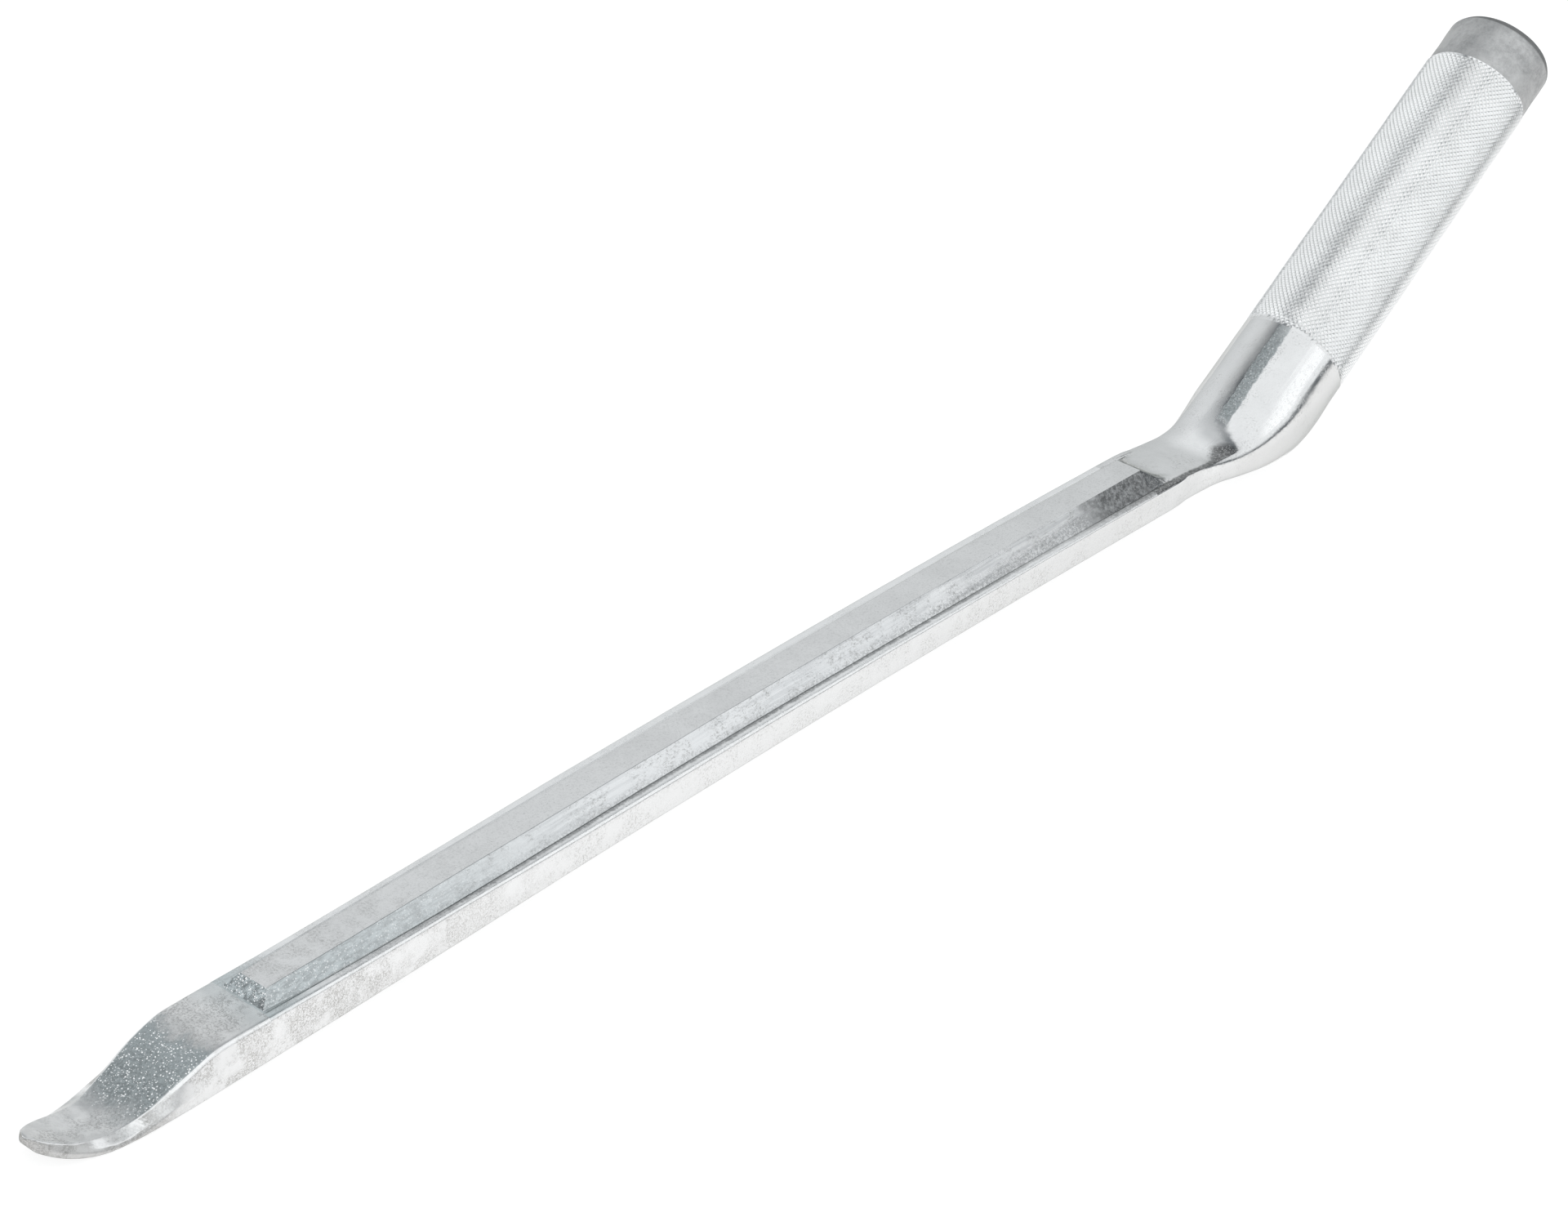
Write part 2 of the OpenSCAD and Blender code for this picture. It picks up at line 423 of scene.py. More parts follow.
def knurl():
    verts, faces = [], []
    base = {}

    def fade(s, th):
        lip = 0.1 + 0.9 * math.cos(th) + 1.3 * noise.noise(
            Vector((math.cos(th) * 2.2, math.sin(th) * 2.2, 0.0)))
        n = noise.noise(Vector((math.cos(th) * 9, math.sin(th) * 9, 3.0)))
        start = ease(lip + 0.4 * n, lip + 0.4 * n + 2.2, s - NECK_RUN)
        end = 1 - ease(GRIP_LEN - 0.7, GRIP_LEN, s - NECK_RUN + 0.2 * n)
        return start * end * ease(0.0, 0.8, s - NECK_RUN)

    def put(k, s, r):
        th = 2 * math.pi * k / COLS
        verts.append(on_axis(s, r * math.cos(th), r * math.sin(th)))
        return len(verts) - 1

    for j in range(ROWS + 1):
        for k in range(COLS):
            if j in (0, ROWS) or (j + k) % 2 == 0:
                s = NECK_RUN + j * HALF_ROW
                th = 2 * math.pi * k / COLS
                f = fade(s, th)
                end_r = mix(GRIP_R, COLLAR_R, j / ROWS)
                base[k, j] = put(k, s, mix(end_r, VALLEY + random.uniform(-0.01, 0.01), f))
    for j in range(1, ROWS):
        for k in range(COLS):
            if (j + k) % 2 == 0:
                continue
            s = NECK_RUN + j * HALF_ROW
            f = fade(s, 2 * math.pi * k / COLS)
            rough = random.uniform(-0.02, 0.015)
            r = mix(GRIP_R + 0.005, CREST + rough, f)
            q = 0.25 + random.uniform(-0.025, 0.03)
            corner = [base[(k - 1) % COLS, j], base[k, j - 1], base[(k + 1) % COLS, j],
                      base[k, j + 1]]
            top = [put(k - q, s, r), put(k, s - q * HALF_ROW, r), put(k + q, s, r),
                   put(k, s + q * HALF_ROW, r)]
            faces.append(tuple(top))
            for i in range(4):
                n = (i + 1) % 4
                faces.append((corner[i], corner[n], top[n], top[i]))
    for k in range(COLS):
        for j, inner in ((0, 1), (ROWS, ROWS - 1)):
            if (k + j) % 2:
                row = [base[(k - 1) % COLS, j], base[k, j], base[(k + 1) % COLS, j],
                       base[k, inner]]
                faces.append(tuple(row if j == 0 else row[::-1]))
    for j, s in ((0, NECK_RUN), (ROWS, NECK_RUN + GRIP_LEN)):
        verts.append(on_axis(s, 0, 0))
        mid = len(verts) - 1
        for k in range(COLS):
            a, b = base[k, j], base[(k + 1) % COLS, j]
            faces.append((mid, b, a) if j == 0 else (mid, a, b))
    return verts, faces


verts, faces = knurl()
grip = new_object("knurled_grip_forging", place(wobble(verts, 0.05)), faces,
                  ["knurled_grip"], 0)


# ---- end collar: plain stretch, chamfered rim, faintly crowned end face
rings = []
s0 = NECK_RUN + GRIP_LEN
profile = [(0, COLLAR_R)] + [(k * 0.95, COLLAR_R + 0.03 * math.sin(k)) for k in range(1, 10)]
profile += [(9.75, 11.3), (10.0, 11.24), (10.3, 11.1), (10.6, 10.92), (10.9, 10.7),
            (11.15, 10.48), (11.32, 10.25), (11.4, 9.95), (11.4, 8.0), (11.36, 5.0), (11.33, 2.0)]
for s, r in profile:
    ring_points = []
    for k in range(128):
        th = 2 * math.pi * k / 128
        askew = -0.35 * ease(6.0, 10.0, s) * math.cos(th)  # the end isn't cut quite square
        ring_points.append(on_axis(s0 + s + askew, r * math.cos(th), r * math.sin(th)))
    rings.append(ring_points)
verts, faces = loft(rings)
collar = new_object("end_collar_forging", place(wobble(verts, 0.05)), faces,
                    ["end_collar"], 30)


# ---------------------------------------------------------------- materials
class Nodes:
    """Short helpers for building a material's node tree."""

    def __init__(self, name):
        self.mat = bpy.data.materials.new(name)
        self.mat.use_nodes = True
        self.tree = self.mat.node_tree
        self.tree.nodes.clear()
        self.out = self.tree.nodes.new("ShaderNodeOutputMaterial")

    def add(self, kind, **inputs):
        node = self.tree.nodes.new(kind)
        for key, value in inputs.items():
            if hasattr(node, key) and key not in node.inputs:
                setattr(node, key, value)
            else:
                self.link(value, node.inputs[key])
        return node

    def link(self, value, socket):
        if isinstance(value, bpy.types.NodeSocket):
            self.tree.links.new(value, socket)
        else:
            socket.default_value = value

    def coords(self, turn=0.0, stretch=(1, 1, 1)):
        """Object coordinates in millimetres, turned so that X runs along the steel."""
        tex = self.tree.nodes.new("ShaderNodeTexCoord")
        turned = self.tree.nodes.new("ShaderNodeVectorRotate")
        turned.rotation_type = "Y_AXIS"
        self.tree.links.new(tex.outputs["Object"], turned.inputs["Vector"])
        turned.inputs["Angle"].default_value = turn
        scaled = self.tree.nodes.new("ShaderNodeVectorMath")
        scaled.operation = "MULTIPLY"
        self.tree.links.new(turned.outputs[0], scaled.inputs[0])
        scaled.inputs[1].default_value = [1000 * s for s in stretch]
        return scaled.outputs[0]

    def noise(self, vector, scale, detail=3.0, rough=0.55, distort=0.0):
        node = self.tree.nodes.new("ShaderNodeTexNoise")
        self.tree.links.new(vector, node.inputs["Vector"])
        node.inputs["Scale"].default_value = scale
        node.inputs["Detail"].default_value = detail
        node.inputs["Roughness"].default_value = rough
        node.inputs["Distortion"].default_value = distort
        return node.outputs["Fac"]

    def cells(self, vector, scale, feature="F1", output="Distance"):
        node = self.tree.nodes.new("ShaderNodeTexVoronoi")
        node.feature = feature
        self.tree.links.new(vector, node.inputs["Vector"])
        node.inputs["Scale"].default_value = scale
        return node.outputs[output]

    def step(self, value, low, high, to_low=0.0, to_high=1.0):
        node = self.tree.nodes.new("ShaderNodeMapRange")
        node.interpolation_type = "SMOOTHSTEP"
        self.link(value, node.inputs["Value"])
        node.inputs["From Min"].default_value = low
        node.inputs["From Max"].default_value = high
        node.inputs["To Min"].default_value = to_low
        node.inputs["To Max"].default_value = to_high
        return node.outputs["Result"]

    def math(self, kind, a, b=0.0, clamp=False):
        node = self.tree.nodes.new("ShaderNodeMath")
        node.operation = kind
        node.use_clamp = clamp
        self.link(a, node.inputs[0])
        self.link(b, node.inputs[1])
        return node.outputs[0]

    def blend(self, fac, a, b, kind="MIX"):
        node = self.tree.nodes.new("ShaderNodeMix")
        node.data_type = "RGBA"
        node.blend_type = kind
        self.link(fac, node.inputs["Factor"])
        self.link(a, node.inputs[6])
        self.link(b, node.inputs[7])
        return node.outputs[2]

    def axis(self, vector, name):
        node = self.tree.nodes.new("ShaderNodeSeparateXYZ")
        self.tree.links.new(vector, node.inputs[0])
        return node.outputs[name]

    def bump(self, height, distance, strength=1.0, normal=None):
        node = self.tree.nodes.new("ShaderNodeBump")
        node.inputs["Distance"].default_value = distance
        self.link(strength, node.inputs["Strength"])
        self.link(height, node.inputs["Height"])
        if normal is not None:
            self.tree.links.new(normal, node.inputs["Normal"])
        return node.outputs["Normal"]

    def metal(self, color, rough, normal, metallic=1.0):
        """Zinc: a metal whose reflection is a little dull at grazing angles."""
        node = self.tree.nodes.new("ShaderNodeBsdfPrincipled")
        node.inputs["Specular Tint"].default_value = (0.62, 0.63, 0.62, 1.0)
        self.link(metallic, node.inputs["Metallic"])
        self.link(color, node.inputs["Base Color"])
        self.link(rough, node.inputs["Roughness"])
        if normal is not None:
            self.tree.links.new(normal, node.inputs["Normal"])
        self.tree.links.new(node.outputs[0], self.out.inputs["Surface"])
        return self.mat


def grey(v, blue=0.0, warm=0.0):
    return (v * (1 + warm - blue), v * (1 + 0.3 * warm), v * (1 + blue - warm), 1.0)


def teal(v):
    """The faintly blue-green grey of blasted zinc."""
    return (v * 0.92, v, v * 1.02, 1.0)


def speckle(n, at, scale, cut, patch_scale, patch_low, patch_high, rough=0.85):
    """Fine stain grains gathered in patches: 1 where stained."""
    fine = n.step(n.noise(at, scale, 8.0, rough), cut, cut + 0.05)
    patch = n.step(n.noise(at, patch_scale, 4.0, 0.65), patch_low, patch_high)
    return n.math("MULTIPLY", fine, patch)


def upward(n, low, high, axis="Z"):
    """1 where the surface faces along an axis."""
    geo = n.tree.nodes.new("ShaderNodeNewGeometry")
    sep = n.tree.nodes.new("ShaderNodeSeparateXYZ")
    n.tree.links.new(geo.outputs["True Normal"], sep.inputs[0])
    return n.step(sep.outputs[axis], low, high)


def sparkle(n, at, scale, share):
    """Random bright grains of a shot-blasted surface, used for painted glints."""
    node = n.tree.nodes.new("ShaderNodeTexVoronoi")
    n.tree.links.new(at, node.inputs["Vector"])
    node.inputs["Scale"].default_value = scale
    pick = n.axis(node.outputs["Color"], "X")
    near = n.step(node.outputs["Distance"], 0.42, 0.22)
    return n.math("MULTIPLY", n.step(pick, 1 - share, 1 - share + 0.06), near)


ZINC = grey(0.86)
WHITE = grey(1.0)
# the two directions that textures run in, and where the lever's own zero lies in the first
LEVEL, ALONG = TILT, TILT + BEND
LEVEL_X = SHIFT[0] * math.cos(TILT) + SHIFT[1] * math.sin(TILT)
LEVEL_Z = SHIFT[1] * math.cos(TILT) - SHIFT[0] * math.sin(TILT)


def grains(n, at, where):
    """Painted glints: tiny white grains of a shot-blasted surface, and how metallic the surface is there."""
    painted_glint = n.math("ADD", sparkle(n, at, 2.6, 0.32), sparkle(n, at, 4.0, 0.26), clamp=True)
    painted_glint = n.math("MULTIPLY", painted_glint, where)
    return painted_glint, n.math("SUBTRACT", 1.0, painted_glint)


def past_x(n, at, x):
    """How far a point is along the lever past x, in millimetres."""
    return n.math("SUBTRACT", n.axis(at, "X"), x + LEVEL_X)


def above_z(n, at, z):
    """How far a point is above the lever's height z, in millimetres."""
    return n.math("SUBTRACT", n.axis(at, "Z"), z + LEVEL_Z)


def past_s(n, at, s):
    """How far a point is along the handle's axis past s, in millimetres."""
    p = place([on_axis(s, 0.0, 0.0)])[0] * 1000
    return n.math("SUBTRACT", n.axis(at, "X"), p[0] * math.cos(ALONG) + p[2] * math.sin(ALONG))


def ragged(n, at, value, scale, size):
    """A distance made uneven by noise, for borders that aren't ruled lines."""
    jag = n.math("SUBTRACT", n.noise(at, scale, 6.0, 0.75), 0.5)
    return n.math("ADD", value, n.math("MULTIPLY", jag, size))


def painted_rim_highlight(n, at):
    """Painted highlight on the rounded long edges: a white, less metallic band, narrower where the lip
    rounds over.
    """
    lip = n.step(past_x(n, at, X_VALLEY), 12.0, 4.0)
    from_side = n.math("ADD", n.math("MULTIPLY", upward(n, 0.42, 0.58), n.math(
        "SUBTRACT", 1.0, lip)), n.math("MULTIPLY", upward(n, 0.70, 0.78), lip))
    band = n.math("MULTIPLY", from_side, upward(n, 0.90, 0.80))
    return n.math("MULTIPLY", band, n.step(n.noise(at, 0.9, 5.0, 0.7), 0.30, 0.55, 0.45, 1.0))


def side_zinc(n, at, x):
    """Smooth zinc with brown-grey grainy stains, denser towards the tip."""
    stain = speckle(n, at, 2.6, 0.52, 0.12, 0.42, 0.58)
    more = n.math("MULTIPLY", speckle(n, at, 3.4, 0.48, 0.17, 0.40, 0.56),
                  n.step(x, -150.0, -222.0))
    pits = speckle(n, at, 2.6, 0.575, 0.4, 0.40, 0.56)
    color = n.blend(n.step(x, -110.0, 0.0), ZINC, grey(0.815, 0.0, 0.002))
    color = n.blend(n.math("MULTIPLY", stain, 0.5), color, grey(0.50, 0.0, 0.03))
    color = n.blend(n.math("MULTIPLY", more, 0.7), color, grey(0.36, 0.0, 0.04))
    color = n.blend(n.math("MULTIPLY", pits, 0.5), color, grey(0.30, 0.0, 0.03))
    return color, stain, more


def bar_material(name, turn):
    """Smooth zinc sides with brown-grey grainy stains; gritty painted shade beside the rib's foot and over
    the near ledge by the neck; a painted highlight on the long edges.
    """
    n = Nodes(name)
    at = n.coords(turn)
    x = past_x(n, at, 0.0)
    y = n.axis(at, "Y")
    side = n.math("SUBTRACT", 1.0, upward(n, 0.5, 0.8))
    color, stain, more = side_zinc(n, at, x)
    edge = n.math("MULTIPLY", n.step(above_z(n, at, 0.0), 4.6, 5.9),
                  n.step(x, X_FOOT, X_FOOT + 20.0))
    rim = n.math("MULTIPLY", edge, n.step(n.noise(at, 2.4, 8.0, 0.85), 0.48, 0.56))
    color = n.blend(n.math("MULTIPLY", rim, 0.4), color, grey(0.42, 0.0, 0.02))
    # painted crease shade: a dark line beside the rib's foot, wide and broken on the near side
    foot = n.step(x, -150.0, 0.0, 5.15, 5.85)
    past = ragged(n, at, n.math("SUBTRACT", n.math("ABSOLUTE", y), foot), 0.5, 1.4)
    near = n.step(y, 1.0, -1.0, 0.0, 1.0)
    foot_shade = n.math("MULTIPLY", n.math("MULTIPLY", near, n.step(past, 1.15, 0.55)),
                  n.math("MULTIPLY", n.step(x, X_FOOT + 5.0, X_FOOT + 45.0),
                         n.step(x, -25.0, -65.0, 0.4, 1.0)))
    grit = n.step(n.noise(at, 1.6, 8.0, 0.8), 0.34, 0.56, 0.45, 1.0)
    ledge = n.blend(n.step(x, X_FOOT, X_FOOT + 14.0), teal(0.70), grey(0.97))
    ledge = n.blend(n.math("MULTIPLY", foot_shade, grit), ledge, grey(0.40, 0.01))
    ledge = n.blend(n.math("MULTIPLY", more, 0.4), ledge, grey(0.42, 0.0, 0.02))
    # painted dark reflection: near the neck it widens over the whole ledge, broken by grit
    late = n.math("MULTIPLY", n.math("MULTIPLY", near, grit),
                  n.step(ragged(n, at, x, 0.4, 16.0), -34.0, 0.0, 0.0, 0.75))
    ledge = n.blend(late, ledge, grey(0.22, 0.004))
    color = n.blend(side, ledge, color)
    # painted highlight along the rounded long edges: white and less metallic
    rim_highlight = painted_rim_highlight(n, at)
    color = n.blend(n.math("MULTIPLY", rim_highlight, 0.6), color, WHITE)
    metallic = n.math("SUBTRACT", 1.0, n.math("MULTIPLY", rim_highlight, 0.4))
    rough = n.step(n.noise(at, 0.4, 4.0, 0.65), 0.3, 0.7, 0.18, 0.30)
    height = n.math("ADD", n.noise(at, 0.7, 4.0, 0.55), n.math("MULTIPLY", stain, -0.15))
    return n.metal(color, rough, n.bump(height, 0.00004, 0.7), metallic)


def spoon_material(name, turn):
    """Shot-blasted ramp, smoother mottled land, lip and stained sides."""
    n = Nodes(name)
    at = n.coords(turn)
    x = ragged(n, at, past_x(n, at, 0.0), 0.3, 9.0)
    on_ramp = n.math("MULTIPLY", n.step(x, X_VALLEY - 0.5, X_VALLEY + 7.0),
                     n.step(x, X_RAMP + 1.2, X_RAMP - 1.4))
    facing_up = upward(n, 0.78, 0.90)
    blast = n.math("MULTIPLY", on_ramp, facing_up)
    glint, metallic = grains(n, at, blast)
    footward = n.step(past_x(n, at, 0.0), X_FOOT - 7.0, X_FOOT)
    cloud = n.step(n.noise(at, 0.35, 5.0, 0.65), 0.35, 0.65)
    stain = speckle(n, at, 2.8, 0.50, 0.22, 0.42, 0.58)
    tipside = n.step(past_x(n, at, 0.0), -242.0, -256.0)
    rim_highlight = painted_rim_highlight(n, at)
    land = n.blend(cloud, grey(0.88, 0.0, 0.004), grey(0.75, 0.0, 0.002))
    land = n.blend(n.math("MULTIPLY", footward, 0.5), land, teal(0.66))
    land = n.blend(n.math("MULTIPLY", stain, 0.45), land, grey(0.26, 0.0, 0.03))
    tipstain = speckle(n, at, 2.6, 0.46, 0.25, 0.36, 0.54)
    sides = side_zinc(n, at, past_x(n, at, 0.0))[0]
    sides = n.blend(n.math("MULTIPLY", tipside, 0.8), sides, grey(0.56, 0.0, 0.01))
    sides = n.blend(n.math("MULTIPLY", n.math("MULTIPLY", tipstain, tipside), 0.6), sides,
                    grey(0.28, 0.0, 0.03))
    color = n.blend(facing_up, sides, land)
    shot = n.blend(n.step(n.noise(at, 2.2, 6.0, 0.75), 0.4, 0.6), teal(0.35),
                   teal(0.54))
    shot = n.blend(n.step(x, X_RAMP - 8.0, X_RAMP - 2.0, 0.0, 0.45), shot, teal(0.62))
    # painted glints: white grains on the blasted ramp
    shot = n.blend(glint, shot, WHITE)
    color = n.blend(blast, color, shot)
    # painted highlight along the rounded long edges: white and less metallic
    color = n.blend(n.math("MULTIPLY", rim_highlight, 0.85), color, WHITE)
    metallic = n.math("MINIMUM", metallic, n.math("SUBTRACT", 1.0, n.math("MULTIPLY", rim_highlight, 0.7)))
    smooth = n.math("ADD", n.step(n.noise(at, 0.4, 4.0, 0.65), 0.3, 0.7, 0.18, 0.30),
                    n.step(past_x(n, at, X_FOOT), 0.0, -10.0, 0.0, 0.10))
    rough = n.math("MAXIMUM", smooth, n.math("MULTIPLY", blast, 0.5))
    height = n.math("ADD", n.noise(at, 0.7, 4.0, 0.55), n.math("MULTIPLY", stain, -0.15))
    soft = n.bump(height, 0.00004, 0.7)
    grain = n.noise(at, 2.0, 4.0, 0.7)
    return n.metal(color, rough, n.bump(grain, 0.00009, blast, soft), metallic)


def rib_material(name, turn):
    """Flat grey top with sparse specks, drawn streaks on the bevels, blasted end; painted shade, dark
    reflection and highlight on the bevels.
    """
    n = Nodes(name)
    at = n.coords(turn)
    along_x = n.coords(turn, (0.03, 1.0, 1.0))
    x = past_x(n, at, 0.0)
    y = n.axis(at, "Y")
    top = upward(n, 0.86, 0.96)
    slope = n.math("SUBTRACT", 1.0, top)
    end = n.math("MULTIPLY", n.step(x, X_FOOT + 3.6, X_FOOT + 2.2), upward(n, -0.25, -0.5, "X"))
    # the bevels are rougher towards the tip, and carry a painted dark reflection where they run into the
    # neck
    tipward = n.math("MULTIPLY", n.step(x, X_FOOT + 80.0, X_FOOT + 5.0), slope)
    streak = n.step(n.noise(along_x, 2.0, 5.0, 0.65), 0.42, 0.62)
    patch = n.step(n.noise(at, 0.06, 3.0, 0.6), 0.30, 0.55)
    speck = speckle(n, at, 3.0, 0.565, 0.4, 0.40, 0.56)
    # painted crease shade: grainy dark on the lower bevels, near the rib's foot
    edge = n.step(above_z(n, at, 0.0), 7.2, 5.8)
    dirt_and_shade = n.math("MULTIPLY", n.step(n.noise(at, 2.2, 8.0, 0.85), 0.46, 0.54), edge)
    # painted highlight: the bevels are painted lighter towards the neck
    bevel = n.blend(n.step(x, -90.0, -40.0), grey(0.84, 0.008), grey(1.0))
    bevel = n.blend(n.math("MULTIPLY", n.math("MULTIPLY", streak, patch), 0.45), bevel,
                    grey(0.56, 0.02))
    brown = n.math("MULTIPLY", n.step(n.noise(n.coords(turn, (0.5, 1.0, 1.0)), 2.6, 8.0, 0.85), 0.50, 0.58),
                   n.step(n.noise(at, 0.2, 4.0, 0.65), 0.44, 0.60))
    bevel = n.blend(n.math("MULTIPLY", brown, 0.7), bevel, grey(0.36, 0.0, 0.02))
    bevel = n.blend(n.math("MULTIPLY", dirt_and_shade, 0.6), bevel, grey(0.34, 0.01))
    coarse = n.blend(n.step(n.noise(n.coords(turn, (0.3, 1.0, 1.0)), 1.5, 7.0, 0.8), 0.42, 0.58), teal(0.58),
                     teal(0.38))
    bevel = n.blend(n.math("MULTIPLY", tipward, 0.85), bevel, coarse)
    # painted dark reflection on the near bevel where it runs into the neck, broken by grit
    dark_reflection_mask = n.math("MULTIPLY", n.step(ragged(n, at, x, 0.25, 9.0), -25.0, -13.0),
                   n.step(y, 1.0, -1.0))
    dark_reflection_colour = n.blend(n.step(n.noise(at, 1.1, 8.0, 0.8), 0.42, 0.62), grey(0.15, 0.01),
                   grey(0.50, 0.01))
    bevel = n.blend(n.math("MULTIPLY", dark_reflection_mask, 0.95), bevel, dark_reflection_colour)
    flat = n.blend(n.step(n.noise(at, 0.1, 4.0, 0.6), 0.35, 0.7), grey(0.84), grey(0.78))
    grainy = n.step(n.noise(at, 2.2, 8.0, 0.85), 0.50, 0.60)
    flat = n.blend(n.math("MULTIPLY", grainy, 0.28), flat, grey(0.42))
    tipstain = n.math("MULTIPLY", speckle(n, at, 2.4, 0.50, 0.2, 0.40, 0.56),
                      n.step(x, -165.0, -222.0))
    flat = n.blend(n.math("MULTIPLY", tipstain, 0.5), flat, grey(0.32, 0.0, 0.03))
    color = n.blend(top, bevel, flat)
    color = n.blend(n.math("MULTIPLY", speck, 0.5), color, grey(0.28, 0.0, 0.02))
    shot = n.blend(n.step(n.noise(at, 1.2, 6.0, 0.75), 0.4, 0.6), teal(0.34),
                   teal(0.76))
    corner = n.step(ragged(n, at, y, 0.8, 2.0), -2.2, -3.6)
    shot = n.blend(n.math("MULTIPLY", corner, 0.7), shot, grey(0.16, 0.03))
    color = n.blend(end, color, shot)
    where = n.math("ADD", end, n.math("MULTIPLY", n.math("ADD", tipward, n.math(
        "MULTIPLY", n.math("MULTIPLY", dark_reflection_mask, slope), 0.35)), 0.55), clamp=True)
    glint, metallic = grains(n, at, where)
    # painted glints on the blasted end and on the rough and darkened bevels
    color = n.blend(glint, color, WHITE)
    rough = n.math("ADD", n.step(n.noise(along_x, 1.4, 4.0, 0.6), 0.3, 0.7, 0.12, 0.22),
                   n.math("MULTIPLY", n.step(x, -75.0, -35.0, 0.0, 0.14), slope))
    lines = n.bump(n.noise(along_x, 1.6, 3.0, 0.5), 0.00001,
                   n.math("SUBTRACT", 1.0, n.math("MULTIPLY", top, 0.8)))
    soft = n.bump(n.math("ADD", n.noise(at, 0.8, 5.0, 0.55), n.math("MULTIPLY", speck, -0.2)),
                  0.00001, 0.8, lines)
    grain = n.noise(at, 2.0, 4.0, 0.7)
    return n.metal(color, rough, n.bump(grain, 0.00010, end, soft), metallic)


def neck_material(name, turn):
    """Glossy plated surface with faint mottling, sparse stains, one dull blasted stripe, and painted shade
    and highlights.
    """
    n = Nodes(name)
    at = n.coords(turn)
    x = past_x(n, at, 0.0)
    y = n.axis(at, "Y")
    stain = speckle(n, at, 2.6, 0.54, 0.2, 0.46, 0.60)
    fine = n.step(n.noise(at, 2.2, 8.0, 0.85), 0.52, 0.62)
    color = n.blend(n.step(n.noise(at, 0.12, 3.0, 0.6), 0.35, 0.7), grey(0.85), grey(0.80))
    color = n.blend(n.math("MULTIPLY", fine, n.step(y, -5.0, -9.0, 0.15, 0.3)), color, grey(0.50))
    color = n.blend(n.math("MULTIPLY", stain, 0.40), color, grey(0.40, 0.0, 0.03))
    # painted shade: dark along the near edge of the trough, and in the pocket where the swelling starts
    out = n.step(ragged(n, at, n.math("MULTIPLY", y, -1.0), 0.8, 0.8), 5.5, 6.0)
    here = n.step(x, 34.0, 16.0)
    dirt_and_shade = n.math("MULTIPLY", n.math("MULTIPLY", out, here), upward(n, 0.35, 0.7))
    across = n.math("MULTIPLY", ragged(n, at, y, 0.5, 2.0), -1.0)
    deep = n.step(n.math("SUBTRACT", across, n.math("MULTIPLY", n.math("ABSOLUTE", n.math(
        "SUBTRACT", x, 26.0)), 0.60)), 1.8, 4.2)
    pocket_shade = n.math("MULTIPLY", n.math("MULTIPLY", deep, n.step(x, 30.0, 28.0)),
                    upward(n, 0.5, 0.8))
    # the end of the rib's near bevel belongs to this piece, and carries the same painted dark reflection as
    # the rib's
    bevel = n.math("MULTIPLY", upward(n, -0.35, -0.55, "Y"), n.step(above_z(n, at, 0.0), 4.0, 4.5))
    bevel = n.math("MULTIPLY", bevel, n.step(x, 6.5, 5.5))
    grit = n.step(n.noise(at, 1.4, 8.0, 0.8), 0.34, 0.60, 0.6, 1.0)
    dark = n.math("MULTIPLY", n.math("MAXIMUM", n.math("MAXIMUM", dirt_and_shade, pocket_shade), n.math(
        "MULTIPLY", bevel, 0.65)), grit)
    # painted shade and dark reflection, broken by grit
    color = n.blend(dark, color, grey(0.16, 0.006))
    # the stripe along the crown of the swelling
    off = n.math("ABSOLUTE", n.math("ADD", ragged(n, at, y, 0.6, 1.4), 1.0))
    crown = n.math("MULTIPLY", n.step(off, 1.5, 1.1), n.step(ragged(n, at, x, 0.3, 4.0), 31.0, 33.5))
    fade = n.step(x, 57.0, 47.0, 0.35, 1.0)
    stripe = n.math("MULTIPLY", n.math("MULTIPLY", crown, fade), upward(n, 0.3, 0.6))
    # painted shade with some brownish tarnish beside the stripe, and a painted highlight, paler and duller,
    # in the hollow before it
    tarnish_and_shade = n.math("MULTIPLY", n.math("MULTIPLY", n.step(y, 5.0, 0.6), n.step(x, 33.0, 40.0)),
                     n.step(n.noise(at, 0.25, 4.0, 0.6), 0.2, 0.6, 0.6, 1.0))
    color = n.blend(n.math("MULTIPLY", n.math("MULTIPLY", tarnish_and_shade, n.step(y, -0.6, 0.4)), 0.55),
                    color, grey(0.50, 0.0, 0.015))
    # painted highlight in the hollow before the stripe: lighter and less metallic
    painted_hollow_light = n.math("MULTIPLY", n.step(n.math("ABSOLUTE", y), 6.0, 1.5),
                    n.step(n.math("ABSOLUTE", n.math("SUBTRACT", x, 27.0)), 9.0, 2.0))
    color = n.blend(n.math("MULTIPLY", n.math("MULTIPLY", painted_hollow_light, n.math(
        "SUBTRACT", 1.0, pocket_shade)), 0.7), color, WHITE)
    # the swelling's near edge: a painted highlight on top, gritty below, and painted shade on its side
    swell = n.math("MULTIPLY", n.step(x, 34.0, 38.0), n.step(x, 61.0, 54.0))
    edge_highlight = n.math("MULTIPLY", n.math("MULTIPLY", upward(n, -0.56, -0.72, "Y"), upward(
        n, -0.84, -0.79, "Y")), swell)
    edge_highlight = n.math("MULTIPLY", edge_highlight, n.step(n.noise(at, 1.3, 6.0, 0.75), 0.34, 0.52, 0.3, 1.0))
    gritty = n.math("MULTIPLY", n.math("MULTIPLY", upward(n, -0.78, -0.84, "Y"), upward(
        n, -0.93, -0.88, "Y")), swell)
    # painted shade: the near side is painted darker
    color = n.blend(n.math("MULTIPLY", n.math("MULTIPLY", upward(n, -0.86, -0.93, "Y"), n.step(
        x, 20.0, 32.0)), 0.6), color, grey(0.72, 0.0, 0.006))
